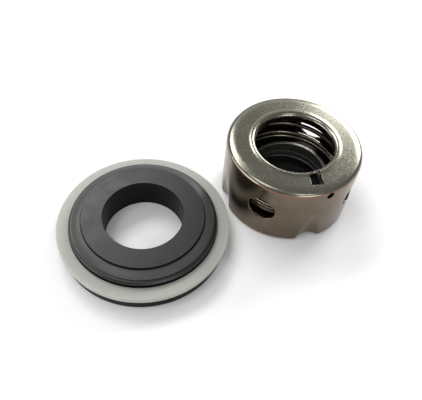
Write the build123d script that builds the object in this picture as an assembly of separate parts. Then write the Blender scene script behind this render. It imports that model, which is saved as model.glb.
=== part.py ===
from build123d import *

import os
from math import atan2, cos, degrees, radians, sin, tan

# A component mechanical seal for a 35 mm shaft, as its two halves lie beside each other.
# The stationary seat stands on its back, with its lapped nose up. The rotary head stands
# on the carbon's running nose, with the rolled lip of its pressed can up.
# X runs from the seat's axis to the head's axis, +Z is up, and the origin is at the middle
# of the set's footprint. Lengths are millimetres, angles are degrees round an axis from +X.

# ---------------------------------------------------------------- driving dimensions

SHAFT_R = 17.5  # the shaft that both halves fit over
SHAFT_CLEARANCE = 0.1  # radial, at the seat's bore and the can's collar
HALF_GAP = 3.9  # between the two halves as they lie

# stationary seat ring, from its nose outwards and from its back upwards
NOSE_WALL = 9.4  # lapped face, from the bore to the nose's edge
NOSE_DRAFT = 0.7  # how far the nose spreads at its foot
NOSE_HEIGHT = 1.0
SHOULDER_WIDTH = 3.8  # sloping shoulder round the nose
SHOULDER_RISE = 1.4
SHOULDER_BULGE = 0.2  # how far the shoulder swells past a plain cone
LIP_THICK = 0.4  # edge of the lip that holds the O-ring down
LIP_OVERHANG = 1.2  # how far the lip stands out over the groove's floor
SEAT_CORD = 2.8  # thickness of the seat's O-ring
SEAT_FLANGE_HEIGHT = 6.0
FLANGE_SETBACK = 1.0  # how far the flange stays inside the gasket's edge
BORE_CHAMFER = 0.3
FLANGE_CHAMFER = 0.5

# white gasket ring on the seat's flange
GASKET_WIDTH = 4.8
GASKET_HEIGHT = 2.9
GASKET_ROUND = 0.6
GASKET_CLEARANCE = 0.1  # radial, between the gasket and the land it fits round

# pressed can of the rotary head
SHELL_R = 30.6
SHELL_WALL = 1.1
SHELL_BOTTOM = 1.0  # the can's lower edge, above the carbon's running face
HEAD_HEIGHT = 33.6
ROLL_R = 2.0  # outer radius of the rolled lip at the bore
COLLAR_DEPTH = 4.4  # from the lip's crest to the turned-down free edge
LIP_SLOPE = 15.0  # steepest slope where the lip falls to the flat of the top
LIP_BEND_R = 5.3  # outer radius of the bend between the lip and the flat
FLAT_SLOPE = 1.0  # how much the flat falls outwards
CORNER_R = 1.8  # outer radius between the flat and the side

# key slot through the can's top, from the collar outwards
KEY_WIDTH = 5.2
KEY_LENGTH = 7.1  # along its own sides, from the collar to the outer end
KEY_SETBACK = 0.1  # radial, from the collar's outer face to the slot
KEY_ANGLE = -94.6  # where the slot meets the collar
KEY_SKEW = -12.0  # how far its sides turn away from the radius there

# punched windows, four round the can
WINDOW_COUNT = 4
WINDOW_WIDTH = 12.8
WINDOW_HEIGHT = 12.0
WINDOW_Z = 17.6
WINDOW_ANGLE = -143.6

PUNCH_PASS = 3.5  # how far every side punch passes the sheet, inwards and outwards

# one small round hole below the can's corner
PINHOLE_R = 1.75
PINHOLE_Z = 29.9
PINHOLE_ANGLE = -89.2

# crimps pressed in at the can's lower edge, one between each two windows
CRIMP_DEPTH = 2.2  # at the lower edge
CRIMP_TOP = 16.0  # height at which a crimp has run out to nothing
CRIMP_PUNCH_R = 9.2
CRIMP_ARCH_WIDTH = 10.8  # the lower edge rises in an arch under each crimp
CRIMP_ARCH_RISE = 1.4
CRIMP_TURN = 45.0  # from a window to the crimp beside it

# coil spring
WIRE = 2.2
WIRE_SIDES = 12  # the round wire's section is drawn with this many flats
SPRING_R = 24.6  # to the middle of the wire
SPRING_START = 200.0  # where the lowest coil begins
BOTTOM_TURNS = 1.5  # coils that lie closed at the lower end
ACTIVE_TURNS = 2.4
TOP_TURNS = 1.0
COIL_CLOSENESS = 1.005  # rise of a closed coil, in wire thicknesses
SPRING_CLEARANCE = 0.08  # at each end of the spring

# thrust ring under the spring
THRUST_CLEARANCE = 0.4  # radial, round the shaft
THRUST_COLLAR_WALL = 1.5
THRUST_COLLAR_HEIGHT = 3.8  # above the flange
THRUST_FLANGE = 1.25  # thickness
CRIMP_CLEARANCE = 0.2  # radial, between the flange and the crimps that hold it in
THRUST_CHAMFER = 0.25

# carbon face ring
FACE_CLEARANCE = 0.2  # radial, round the shaft
FACE_SIDE_CLEARANCE = 0.6  # radial, inside the can
RUNNING_INNER_R = 21.0
RUNNING_WIDTH = 4.8
RUNNING_HEIGHT = 2.0  # how far the running nose stands out of the carbon
CARBON_HEIGHT = 6.65  # from the nose's foot to the thrust ring
NOTCH_CLEARANCE = 0.35  # between the drive notches and the crimps in them
CARBON_CHAMFER = 0.3

# O-ring in the carbon's bore, on the shaft
SHAFT_CORD = 3.0
SHAFT_SQUEEZE = 0.6  # how far the free ring reaches inside the shaft's surface
GROOVE_PLAY = 0.05  # round the O-ring in the carbon's groove
GROOVE_LIP = 0.85  # carbon left under the groove

# ---------------------------------------------------------------- worked out from them

# seat, radii from the bore outwards
SEAT_BORE_R = SHAFT_R + SHAFT_CLEARANCE
NOSE_R = SEAT_BORE_R + NOSE_WALL
SHOULDER_R = NOSE_R + NOSE_DRAFT
LIP_R = SHOULDER_R + SHOULDER_WIDTH
GROOVE_R = LIP_R - LIP_OVERHANG
LAND_R = GROOVE_R + SEAT_CORD
GASKET_INNER_R = LAND_R + GASKET_CLEARANCE
GASKET_R = GASKET_INNER_R + GASKET_WIDTH
FLANGE_R = GASKET_R - FLANGE_SETBACK

# seat, heights from the back upwards
LAND_Z = SEAT_FLANGE_HEIGHT + GASKET_HEIGHT
LIP_Z = LAND_Z + SEAT_CORD
SHOULDER_Z = LIP_Z + LIP_THICK
NOSE_FOOT_Z = SHOULDER_Z + SHOULDER_RISE
SEAT_TOP_Z = NOSE_FOOT_Z + NOSE_HEIGHT

# the set's footprint, which puts the origin in its middle
SET_LENGTH = 2 * GASKET_R + HALF_GAP + 2 * SHELL_R
SEAT_X = GASKET_R - SET_LENGTH / 2
HEAD_X = SET_LENGTH / 2 - SHELL_R

# can
SHELL_INNER_R = SHELL_R - SHELL_WALL
COLLAR_R = SHAFT_R + SHAFT_CLEARANCE
COLLAR_Z = HEAD_HEIGHT - COLLAR_DEPTH
CREST_R = COLLAR_R + ROLL_R
ROLL_Z = HEAD_HEIGHT - ROLL_R
STEEP, FLAT = radians(LIP_SLOPE), radians(FLAT_SLOPE)
FLAT_R = CREST_R + ROLL_R * sin(STEEP) + LIP_BEND_R * (sin(STEEP) - sin(FLAT))
FLAT_Z = HEAD_HEIGHT - ROLL_R * (1 - cos(STEEP)) - LIP_BEND_R * (cos(FLAT) - cos(STEEP))
CORNER_START_R = SHELL_R - CORNER_R * (1 - sin(FLAT))
KEY_INNER_R = COLLAR_R + SHELL_WALL + KEY_SETBACK
CRIMP_ANGLE = WINDOW_ANGLE + CRIMP_TURN
SEAM_ANGLE = WINDOW_ANGLE + CRIMP_TURN / 2  # where the turned sheet closes, on plain wall
CRIMP_RUN = CRIMP_TOP - SHELL_BOTTOM
CRIMP_TILT = degrees(atan2(CRIMP_DEPTH, CRIMP_RUN))
SKIRT_TOP = (WINDOW_Z + WINDOW_HEIGHT / 2 + PINHOLE_Z - PINHOLE_R) / 2  # plain wall between holes


def crimp_reach(z):
    """How far a crimp stands in from the can's wall at height z."""
    return CRIMP_DEPTH * (CRIMP_TOP - z) / CRIMP_RUN


def flat_height(r):
    """Height of the upper face of the can's flat top at a radius."""
    return FLAT_Z - (r - FLAT_R) * tan(FLAT)


# carbon, thrust ring and spring, from the floor upwards
CARBON_Z = RUNNING_HEIGHT
THRUST_Z = CARBON_Z + CARBON_HEIGHT
SPRING_SEAT_Z = THRUST_Z + THRUST_FLANGE
THRUST_TOP_Z = SPRING_SEAT_Z + THRUST_COLLAR_HEIGHT
SPRING_TOP_Z = flat_height(SPRING_R + WIRE / 2) - SHELL_WALL / cos(FLAT)
CARBON_R = SHELL_INNER_R - FACE_SIDE_CLEARANCE
CARBON_BORE_R = SHAFT_R + FACE_CLEARANCE
RUNNING_R = RUNNING_INNER_R + RUNNING_WIDTH
THRUST_BORE_R = SHAFT_R + THRUST_CLEARANCE
THRUST_COLLAR_R = THRUST_BORE_R + THRUST_COLLAR_WALL
THRUST_R = SHELL_INNER_R - crimp_reach(THRUST_Z) - CRIMP_CLEARANCE
CORD_MIDDLE_R = SHAFT_R - SHAFT_SQUEEZE + SHAFT_CORD / 2
CORD_MIDDLE_Z = CARBON_Z + GROOVE_LIP + GROOVE_PLAY + SHAFT_CORD / 2
GROOVE_HALF = SHAFT_CORD / 2 + GROOVE_PLAY


# ---------------------------------------------------------------- ways of making


def turned(profile):
    """A profile of radius and height, turned about the half's own axis."""
    return revolve(Plane.XZ * profile, Axis.Z)


def box_profile(inner, outer, bottom, top):
    """The rectangular section of a plain ring."""
    return Pos((inner + outer) / 2, (bottom + top) / 2) * Rectangle(outer - inner, top - bottom)


def corners(profile, *places):
    """The corners of a profile that lie nearest to the given radii and heights."""
    return [profile.vertices().sort_by_distance((r, z, 0))[0] for r, z in places]


def spaced(first, count):
    """Angles of features spaced evenly round the can."""
    return [first + index * 360 / count for index in range(count)]


def o_ring(middle_r, middle_z, cord):
    """A moulded rubber ring of round section."""
    return turned(Pos(middle_r, middle_z) * Circle(cord / 2))


# ---------------------------------------------------------------- stationary seat


def seat_ring():
    """The turned seat: flange, land, O-ring groove, sloping shoulder and lapped nose."""
    shoulder_middle = (
        (SHOULDER_R + LIP_R) / 2,
        (NOSE_FOOT_Z + SHOULDER_Z) / 2 + SHOULDER_BULGE,
    )
    outline = [
        Polyline(
            (SHOULDER_R, NOSE_FOOT_Z),
            (NOSE_R, SEAT_TOP_Z),
            (SEAT_BORE_R, SEAT_TOP_Z),
            (SEAT_BORE_R, 0),
            (FLANGE_R, 0),
            (FLANGE_R, SEAT_FLANGE_HEIGHT),
            (LAND_R, SEAT_FLANGE_HEIGHT),
            (LAND_R, LAND_Z),
            (GROOVE_R, LAND_Z),
            (GROOVE_R, LIP_Z),
            (LIP_R, LIP_Z),
            (LIP_R, SHOULDER_Z),
        ),
        ThreePointArc((LIP_R, SHOULDER_Z), shoulder_middle, (SHOULDER_R, NOSE_FOOT_Z)),
    ]
    profile = make_face(outline)
    bore_ends = corners(profile, (SEAT_BORE_R, 0), (SEAT_BORE_R, SEAT_TOP_Z))
    profile = chamfer(bore_ends, BORE_CHAMFER)
    flange_edges = corners(profile, (FLANGE_R, 0), (FLANGE_R, SEAT_FLANGE_HEIGHT))
    profile = chamfer(flange_edges, FLANGE_CHAMFER)
    return turned(profile)


def seat_gasket():
    """The flat ring that rests on the flange, with rounded edges."""
    profile = box_profile(GASKET_INNER_R, GASKET_R, SEAT_FLANGE_HEIGHT, LAND_Z)
    return turned(fillet(profile.vertices(), GASKET_ROUND))


def seat_o_ring():
    """The ring in the seat's groove, held down by the lip."""
    return o_ring(GROOVE_R + SEAT_CORD / 2, LAND_Z + SEAT_CORD / 2, SEAT_CORD)


# ---------------------------------------------------------------- pressed can


def side_punch(outline, angle, z):
    """An outline pushed straight through one side of the can only, at an angle and a height."""
    facing = Plane((SHELL_INNER_R - PUNCH_PASS, 0, z), x_dir=(0, 1, 0), z_dir=(1, 0, 0))
    return Rot(0, 0, angle) * extrude(facing * outline, SHELL_WALL + 2 * PUNCH_PASS)


def drawn_top():
    """The can above its windows: the outer line of the sheet, thickened inwards and turned."""
    collar = Line((COLLAR_R, COLLAR_Z), (COLLAR_R, ROLL_Z))
    roll = JernArc(collar @ 1, collar % 1, ROLL_R, -90 - LIP_SLOPE)
    bend = JernArc(roll @ 1, roll % 1, LIP_BEND_R, LIP_SLOPE - FLAT_SLOPE)
    flat = Line(bend @ 1, (CORNER_START_R, flat_height(CORNER_START_R)))
    corner = JernArc(flat @ 1, flat % 1, CORNER_R, FLAT_SLOPE - 90)
    side = Line(corner @ 1, (SHELL_R, SKIRT_TOP))
    outer_line = Wire([collar, roll, bend, flat, corner, side])
    section = outer_line.offset_2d(SHELL_WALL, side=Side.RIGHT, closed=True)
    return Rot(0, 0, SEAM_ANGLE) * turned(make_face(section))


def key_slot():
    """The slot's cutter: a block through the top only, whose inner end follows the collar."""
    depth = 2 * (ROLL_R + SHELL_WALL)
    block = Pos((KEY_LENGTH - KEY_WIDTH) / 2, 0) * Box(KEY_LENGTH + KEY_WIDTH, KEY_WIDTH, depth)
    turned_block = Pos(KEY_INNER_R, 0) * Rot(0, 0, KEY_SKEW) * block
    return Pos(0, 0, HEAD_HEIGHT) * Rot(0, 0, KEY_ANGLE) * (turned_block - Cylinder(KEY_INNER_R, depth))


def crimp_punch(radius):
    """A round punch that leans against the can's side, so that it presses deepest at the bottom."""
    foot = Pos(SHELL_R + CRIMP_PUNCH_R - CRIMP_DEPTH, 0, SHELL_BOTTOM)
    return foot * Rot(0, CRIMP_TILT, 0) * Rot(0, 0, 180) * Cylinder(radius, 3 * CRIMP_RUN)


def crimp_arch():
    """The arch that the lower edge takes under a crimp, as a round cutter across the wall."""
    arch_r = (CRIMP_ARCH_WIDTH**2 / 4 + CRIMP_ARCH_RISE**2) / (2 * CRIMP_ARCH_RISE)
    return side_punch(Circle(arch_r), 0, SHELL_BOTTOM + CRIMP_ARCH_RISE - arch_r)


def pressed_drum(radius, punch_radius):
    """A round block as high as the skirt, with a punch pressed into it at each crimp."""
    middle = Pos(0, 0, (SHELL_BOTTOM + SKIRT_TOP) / 2) * Rot(0, 0, SEAM_ANGLE)
    drum = middle * Cylinder(radius, SKIRT_TOP - SHELL_BOTTOM)
    for angle in spaced(CRIMP_ANGLE, WINDOW_COUNT):
        drum = drum - Rot(0, 0, angle) * crimp_punch(punch_radius)
    return drum


def crimped_skirt():
    """The can's wall below the top: the sheet follows the punches, then takes arches and windows."""
    skirt = pressed_drum(SHELL_R, CRIMP_PUNCH_R) - pressed_drum(SHELL_INNER_R, CRIMP_PUNCH_R + SHELL_WALL)
    for angle in spaced(CRIMP_ANGLE, WINDOW_COUNT):
        skirt = skirt - Rot(0, 0, angle) * crimp_arch()
    for angle in spaced(WINDOW_ANGLE, WINDOW_COUNT):
        skirt = skirt - side_punch(Ellipse(WINDOW_WIDTH / 2, WINDOW_HEIGHT / 2), angle, WINDOW_Z)
    return skirt


def shell():
    """The pressed can: the top with its small hole and key slot, and the skirt below."""
    top = drawn_top() - side_punch(Circle(PINHOLE_R), PINHOLE_ANGLE, PINHOLE_Z) - key_slot()
    return top + crimped_skirt()


# ---------------------------------------------------------------- coil spring


def coil(turns, pitch, start, bottom):
    """Part of the spring: the wire along a right-hand helix, cut square across at both ends."""
    path = Helix(pitch, turns * pitch, SPRING_R)
    wire = Plane.XZ * Pos(SPRING_R, 0) * RegularPolygon(WIRE / 2, WIRE_SIDES)
    return Pos(0, 0, bottom) * Rot(0, 0, start) * sweep(wire, path, is_frenet=True)


def spring():
    """One spring: closed coils below, open coils between, one closed coil above."""
    bottom_z = SPRING_SEAT_Z + SPRING_CLEARANCE + WIRE / 2
    top_z = SPRING_TOP_Z - SPRING_CLEARANCE - WIRE / 2
    closed_pitch = WIRE * COIL_CLOSENESS
    active_z = bottom_z + BOTTOM_TURNS * closed_pitch
    closed_z = top_z - TOP_TURNS * closed_pitch
    active_start = SPRING_START + 360 * BOTTOM_TURNS
    closed_start = active_start + 360 * ACTIVE_TURNS
    lower = coil(BOTTOM_TURNS, closed_pitch, SPRING_START, bottom_z)
    middle = coil(ACTIVE_TURNS, (closed_z - active_z) / ACTIVE_TURNS, active_start, active_z)
    upper = coil(TOP_TURNS, closed_pitch, closed_start, closed_z)
    return lower + middle + upper


# ---------------------------------------------------------------- what the spring presses


def thrust_ring():
    """The spring's seat: a flat flange with a collar up inside the spring."""
    outline = Polyline(
        (THRUST_BORE_R, THRUST_Z),
        (THRUST_R, THRUST_Z),
        (THRUST_R, SPRING_SEAT_Z),
        (THRUST_COLLAR_R, SPRING_SEAT_Z),
        (THRUST_COLLAR_R, THRUST_TOP_Z),
        (THRUST_BORE_R, THRUST_TOP_Z),
        (THRUST_BORE_R, THRUST_Z),
    )
    profile = make_face(outline)
    collar_edge = corners(profile, (THRUST_COLLAR_R, THRUST_TOP_Z), (THRUST_BORE_R, THRUST_TOP_Z))
    return turned(chamfer(collar_edge, THRUST_CHAMFER))


def drive_notch():
    """The straight notch in the carbon that one crimp reaches into."""
    middle_r = SHELL_R + CRIMP_PUNCH_R - crimp_reach(CARBON_Z)
    notch_r = CRIMP_PUNCH_R + SHELL_WALL + NOTCH_CLEARANCE
    return Pos(middle_r, 0, CARBON_Z + CARBON_HEIGHT / 2) * Cylinder(notch_r, 2 * CARBON_HEIGHT)


def face_ring():
    """The carbon: running nose below, O-ring groove in the bore, a drive notch for each crimp."""
    outline = Polyline(
        (CARBON_BORE_R, CARBON_Z),
        (RUNNING_INNER_R, CARBON_Z),
        (RUNNING_INNER_R, 0),
        (RUNNING_R, 0),
        (RUNNING_R, CARBON_Z),
        (CARBON_R, CARBON_Z),
        (CARBON_R, THRUST_Z),
        (CARBON_BORE_R, THRUST_Z),
        (CARBON_BORE_R, CORD_MIDDLE_Z + GROOVE_HALF),
        (CORD_MIDDLE_R + GROOVE_HALF, CORD_MIDDLE_Z + GROOVE_HALF),
        (CORD_MIDDLE_R + GROOVE_HALF, CORD_MIDDLE_Z - GROOVE_HALF),
        (CARBON_BORE_R, CORD_MIDDLE_Z - GROOVE_HALF),
        (CARBON_BORE_R, CARBON_Z),
    )
    profile = make_face(outline)
    outer_edges = corners(profile, (CARBON_R, CARBON_Z), (CARBON_R, THRUST_Z))
    carbon = turned(chamfer(outer_edges, CARBON_CHAMFER))
    for angle in spaced(CRIMP_ANGLE, WINDOW_COUNT):
        carbon = carbon - Rot(0, 0, angle) * drive_notch()
    return carbon


def shaft_o_ring():
    """The ring in the carbon's bore that grips the shaft."""
    return o_ring(CORD_MIDDLE_R, CORD_MIDDLE_Z, SHAFT_CORD)


# ---------------------------------------------------------------- the set

os.makedirs("parts", exist_ok=True)

SEAT_PIECES = [seat_ring, seat_gasket, seat_o_ring]
HEAD_PIECES = [shell, spring, thrust_ring, face_ring, shaft_o_ring]

for place, pieces in ((SEAT_X, SEAT_PIECES), (HEAD_X, HEAD_PIECES)):
    for piece in pieces:
        export_step(Pos(place, 0, 0) * piece(), f"parts/{piece.__name__}.step")
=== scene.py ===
# %% [markdown]
# # A component mechanical seal, dressed for the camera
#
# A mechanical seal keeps a pump from leaking where its shaft goes through the wall. It has two
# halves. The stationary seat is a hard ring with a lapped face, a rubber O-ring and a white plastic
# gasket. The rotary head is a pressed stainless can that holds a coil spring, a thrust ring and a
# carbon ring that the spring presses on the seat.
#
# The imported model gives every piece's place and size. This script builds fine surfaces over that
# frame, gives each one a material for what it is made of, and lights them like a small studio.

import bpy
import numpy as np
from mathutils import Matrix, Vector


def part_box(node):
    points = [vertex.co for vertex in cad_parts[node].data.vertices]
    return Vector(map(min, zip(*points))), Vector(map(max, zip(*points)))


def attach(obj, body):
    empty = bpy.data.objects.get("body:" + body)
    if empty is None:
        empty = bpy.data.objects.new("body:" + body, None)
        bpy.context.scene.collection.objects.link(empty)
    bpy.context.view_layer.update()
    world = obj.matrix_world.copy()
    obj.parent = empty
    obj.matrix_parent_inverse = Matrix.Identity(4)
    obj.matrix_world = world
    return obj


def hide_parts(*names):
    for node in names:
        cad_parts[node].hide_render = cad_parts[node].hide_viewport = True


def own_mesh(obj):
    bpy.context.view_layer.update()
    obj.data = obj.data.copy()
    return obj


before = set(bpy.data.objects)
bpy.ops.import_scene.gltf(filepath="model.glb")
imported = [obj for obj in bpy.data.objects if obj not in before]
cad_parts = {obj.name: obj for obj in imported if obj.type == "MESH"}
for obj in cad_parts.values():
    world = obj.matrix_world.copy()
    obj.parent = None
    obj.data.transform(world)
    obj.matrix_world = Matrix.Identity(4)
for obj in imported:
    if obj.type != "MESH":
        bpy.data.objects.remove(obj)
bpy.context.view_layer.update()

# %% [markdown]
# ## Sizes
#
# The frame is in metres and a machinist thinks in millimetres, so the sizes below are millimetres
# and one factor turns them to metres at the very end. Outside sizes and places are read off the
# frame. The sizes that the frame's boxes don't give, such as a groove or a rounding, are named.

# %% Read places and outside sizes off the frame
MM = 0.001


def node_box(name):
    """Lowest and highest corner of a node, in millimetres."""
    low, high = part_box(name)
    return np.array(low) / MM, np.array(high) / MM


def ring_size(name):
    """Outer radius, bottom and top of a round node, in millimetres."""
    low, high = node_box(name)
    return (high[0] - low[0]) / 2, low[2], high[2]


SEAT_AXIS = (node_box("seat_ring")[0] + node_box("seat_ring")[1])[:2] / 2
HEAD_AXIS = (node_box("shell")[0] + node_box("shell")[1])[:2] / 2
FLANGE_R, SEAT_BACK, SEAT_TOP = ring_size("seat_ring")
GASKET_R, GASKET_BOTTOM, GASKET_TOP = ring_size("seat_gasket")
SHELL_R, SHELL_BOTTOM, SHELL_TOP = ring_size("shell")
CARBON_BOTTOM, CARBON_TOP = ring_size("face_ring")[1:]
THRUST_R, THRUST_BOTTOM, THRUST_TOP = ring_size("thrust_ring")
THRUST_BORE_R, THRUST_COLLAR_R = 17.9, 19.4  # the upright part that the spring stands round
SEAT_CORD = ring_size("seat_o_ring")[2] - ring_size("seat_o_ring")[1]
SHAFT_CORD = ring_size("shaft_o_ring")[2] - ring_size("shaft_o_ring")[1]
SPRING_BOTTOM, SPRING_TOP = ring_size("spring")[1:]
BORE_R = 17.6  # the seat's bore and the can's
NOSE_R, GROOVE_R = 26.8, 29.7  # the seat's lapped nose and its O-ring groove's floor
print("seat axis", SEAT_AXIS.round(2), "head axis", HEAD_AXIS.round(2))
print("can radius", round(SHELL_R, 2), "can top", round(SHELL_TOP, 2))

# %% [markdown]
# ## Arrays into meshes
#
# Every piece here is a grid of points worked out with numpy, with the exact surface direction at
# each point. Blender would otherwise guess the directions from the faces, and flats beside a small
# rounding would look swollen. Giving the normals ourselves keeps flats flat and roundings crisp.

# %% Turn arrays into a piece
RING_STEPS = 256


def grid_quads(ids, close_rows=False, close_columns=False):
    """Quads of a grid of point numbers: each joins a cell's four corners. A seam may be closed."""
    if close_rows:
        ids = np.vstack([ids, ids[:1]])
    if close_columns:
        ids = np.hstack([ids, ids[:, :1]])
    corners = [ids[:-1, :-1], ids[1:, :-1], ids[1:, 1:], ids[:-1, 1:]]
    return np.stack(corners, axis=-1).reshape(-1, 4)


def make_piece(name, points, normals, quads, axis, material, body, node, slot):
    """
    A mesh from whole arrays, moved to its axis. A quad's own direction is the cross product of its
    diagonals, and a quad that faces against its normals is turned round.
    """
    quads = quads.copy()
    a, b, c, d = (points[quads[:, k]] for k in range(4))
    against = np.einsum("ij,ij->i", np.cross(c - a, d - b), normals[quads].sum(axis=1)) < 0
    quads[against] = quads[against, ::-1]
    used, quads = np.unique(quads, return_inverse=True)
    quads = quads.reshape(-1, 4)
    placed = (points[used] + np.array([axis[0], axis[1], 0.0])) * MM
    mesh = bpy.data.meshes.new(name)
    mesh.from_pydata(placed, [], quads)
    mesh.shade_smooth()
    mesh.normals_split_custom_set_from_vertices(normals[used])
    mesh.materials.append(material)
    piece = bpy.data.objects.new(name, mesh)
    bpy.context.scene.collection.objects.link(piece)
    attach(piece, body)
    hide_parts(node)
    print(name, len(placed), "points", len(quads), "quads")
    return piece


# %% [markdown]
# ## Turned rings
#
# Five of the pieces come off a lathe or out of a round mould, so each is a closed outline of radius
# and height carried once round the axis. An outline is a list of corners, each with its own
# rounding. A real edge is never sharp: even a tenth of a millimetre catches a line of light, and
# that line is what tells the eye that an edge is there.

# %% Outline with rounded corners, and a ring from it
ARC_STEPS = 6


def rounded_outline(corners):
    """
    Closed outline of radius and height, with outward normals. The arc of a corner touches both of
    its sides: its centre lies on the corner's bisector, at rounding / sin(half the corner's angle).
    """
    corners = np.array(corners, float)
    place, rounding = corners[:, :2], corners[:, 2]
    back = np.roll(place, 1, axis=0) - place
    ahead = np.roll(place, -1, axis=0) - place
    back /= np.linalg.norm(back, axis=1, keepdims=True)
    ahead /= np.linalg.norm(ahead, axis=1, keepdims=True)
    bisector = back + ahead
    bisector /= np.linalg.norm(bisector, axis=1, keepdims=True)
    half_sin = np.linalg.norm(back - ahead, axis=1) / 2
    centre = place + bisector * (rounding / half_sin)[:, None]
    first = place + back * (rounding * np.sqrt(1 - half_sin**2) / half_sin)[:, None] - centre
    last = place + ahead * (rounding * np.sqrt(1 - half_sin**2) / half_sin)[:, None] - centre
    start = np.arctan2(first[:, 1], first[:, 0])
    cross = first[:, 0] * last[:, 1] - first[:, 1] * last[:, 0]
    turn = np.arctan2(cross, (first * last).sum(axis=1))
    angle = start[:, None] + turn[:, None] * np.linspace(0, 1, ARC_STEPS)
    away = np.stack([np.cos(angle), np.sin(angle)], axis=-1)
    points = centre[:, None] + away * rounding[:, None, None]
    following = np.roll(place, -1, axis=0)
    spin = np.sign((place[:, 0] * following[:, 1] - place[:, 1] * following[:, 0]).sum())
    normals = away * (np.sign(turn) * spin)[:, None, None]
    return points.reshape(-1, 2), normals.reshape(-1, 2)


def circle_outline(middle_r, middle_z, radius, steps=40):
    """Closed round outline: a moulded cord's section, with its normals."""
    angle = np.linspace(0, 2 * np.pi, steps, endpoint=False)
    away = np.stack([np.cos(angle), np.sin(angle)], axis=-1)
    return np.array([middle_r, middle_z]) + away * radius, away


def turn_outline(outline, reach=None):
    """
    Points and normals of an outline carried round the axis: x = r cos a, y = r sin a. Where reach
    is given, it says how far out the ring may stand at each angle, and the outline is cut back to
    it. The normals then lean by the slope dr/da over r.
    """
    points, normals = outline
    angle = np.linspace(0, 2 * np.pi, RING_STEPS, endpoint=False)
    radius = np.repeat(points[:, :1], RING_STEPS, axis=1)
    lean = np.zeros_like(radius)
    if reach is not None:
        step = 1e-4
        before, cut, after = (np.minimum(radius, reach(angle + k * step)) for k in (-1, 0, 1))
        lean = (before - after) / (2 * step) / cut
        radius = cut
    across = normals[:, :1]
    normal = np.stack([
        across * np.cos(angle) - across * lean * np.sin(angle),
        across * np.sin(angle) + across * lean * np.cos(angle),
        np.repeat(normals[:, 1:], RING_STEPS, axis=1),
    ], axis=-1)
    normal /= np.linalg.norm(normal, axis=-1, keepdims=True)
    height = np.repeat(points[:, 1:], RING_STEPS, axis=1)
    place = np.stack([radius * np.cos(angle), radius * np.sin(angle), height], axis=-1)
    ids = np.arange(place.shape[0] * RING_STEPS).reshape(place.shape[:2])
    return place.reshape(-1, 3), normal.reshape(-1, 3), grid_quads(ids, True, True)


# %% [markdown]
# ## Materials
#
# Colours are picked as they look on a screen, so one function turns their hex values to the linear
# light that a renderer adds up. One more function adds a node, sets it and links it. The size of
# each pattern starts from the size of the real mark in millimetres.

# %% Colour, scale and node helpers
def linear(hex_colour):
    """sRGB hex to linear light: the low end is divided by 12.92, the rest is a 2.4 power curve."""
    value = np.array([int(hex_colour[i:i + 2], 16) for i in (1, 3, 5)]) / 255
    light = np.where(value <= 0.04045, value / 12.92, ((value + 0.055) / 1.055) ** 2.4)
    return (*light.tolist(), 1.0)


def marks_per_metre(size_mm):
    """Texture scale that makes a pattern's mark about this many millimetres across."""
    return 1 / (size_mm * MM)


def add_node(material, kind, inputs=None, **settings):
    """Adds a node, sets its settings, and sets or links each named input."""
    tree = material.node_tree
    made = tree.nodes.new(kind)
    for name, value in settings.items():
        setattr(made, name, value)
    for name, value in (inputs or {}).items():
        if isinstance(value, bpy.types.NodeSocket):
            tree.links.new(value, made.inputs[name])
        else:
            made.inputs[name].default_value = value
    return made


def new_material(name):
    """An empty material, its surface shader and the place that its patterns are read from."""
    material = bpy.data.materials.new(name)
    material.use_nodes = True
    shader = material.node_tree.nodes["Principled BSDF"]
    place = add_node(material, "ShaderNodeTexCoord").outputs["Object"]
    return material, shader, place


def connect(output, shader, name):
    """Joins an output to one of the shader's inputs."""
    shader.id_data.links.new(output, shader.inputs[name])


def spread(material, value, low, high, dark, light):
    """Ramp: values up to low give the dark end, values from high give the light end."""
    inputs = {"Value": value, "From Min": low, "From Max": high, "To Min": dark, "To Max": light}
    return add_node(material, "ShaderNodeMapRange", inputs).outputs["Result"]


def mix_colours(material, share, dark, light):
    """Mixes two colours, given or linked, by a share from 0 to 1."""
    made = add_node(material, "ShaderNodeMix", {"Factor": share}, data_type="RGBA")
    for slot, value in (("A", dark), ("B", light)):
        socket = next(s for s in made.inputs if s.name == slot and s.type == "RGBA")
        if isinstance(value, bpy.types.NodeSocket):
            material.node_tree.links.new(value, socket)
        else:
            socket.default_value = value
    return next(s for s in made.outputs if s.type == "RGBA")


def between(material, value, low, high, blur, share=1.0):
    """
    A share between two values in millimetres, and zero outside them: the smaller of a ramp that
    rises over the low value and a ramp that falls over the high one, each twice the blur wide.
    """
    rise = spread(material, value, (low - blur) * MM, (low + blur) * MM, 0.0, share)
    fall = spread(material, value, (high - blur) * MM, (high + blur) * MM, share, 0.0)
    least = add_node(material, "ShaderNodeMath", {0: rise, 1: fall}, operation="MINIMUM")
    return least.outputs["Value"]


def between_radii(material, place, axis, inner, outer):
    """One between two radii round an upright axis, and zero outside them."""
    flat = add_node(material, "ShaderNodeVectorMath", {0: place, 1: (1.0, 1.0, 0.0)},
                    operation="MULTIPLY").outputs["Vector"]
    middle = (axis[0] * MM, axis[1] * MM, 0.0)
    radius = add_node(material, "ShaderNodeVectorMath", {0: flat, 1: middle},
                      operation="DISTANCE").outputs["Value"]
    return between(material, radius, inner, outer, 0.1)


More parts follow.
